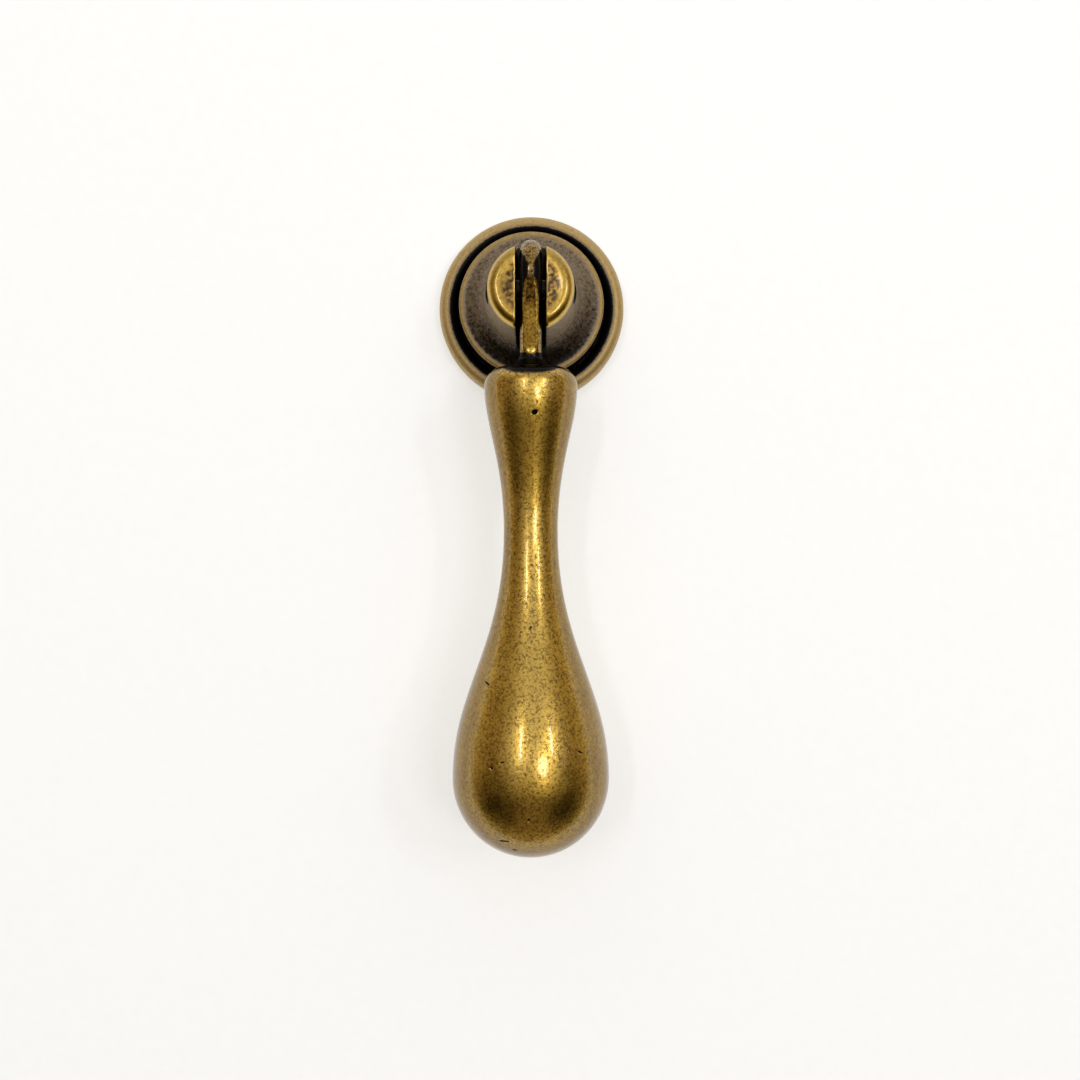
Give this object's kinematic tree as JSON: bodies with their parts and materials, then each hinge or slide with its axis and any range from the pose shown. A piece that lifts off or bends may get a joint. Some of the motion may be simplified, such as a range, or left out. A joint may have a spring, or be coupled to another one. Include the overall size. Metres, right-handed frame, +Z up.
{
  "type": "drop pull",
  "caption": "Teardrop drop pull for a drawer or cabinet door: a stepped round rosette with a slotted post, and a solid pear-shaped drop that swings on a cross pin.",
  "frame": {"origin": "centre of the rosette's back face, at the mouth of the tapped hole", "axes": "+Z up along the hanging drop, +Y into the drawer front, -Y towards the user, +X to the user's right"},
  "size_m": [0.025, 0.024, 0.0833],
  "materials": {
    "rosette_brass": "antique brass, dark in the recesses and rubbed bright on the edges",
    "pin_steel": "darkened",
    "drop_brass": "antique brass, rubbed and speckled, satin lacquer"
  },
  "bodies": {
    "base": {"rosette": "rosette_brass", "hinge_pin": "pin_steel"},
    "pendant": {"drop": "drop_brass"}
  },
  "joints": [
    {"name": "drop_swing", "type": "hinge", "parent": "base", "child": "pendant", "pos_m": [0, -0.0142, 0], "axis": [-1, 0, 0], "range_deg": [-4, 184]}
  ]
}
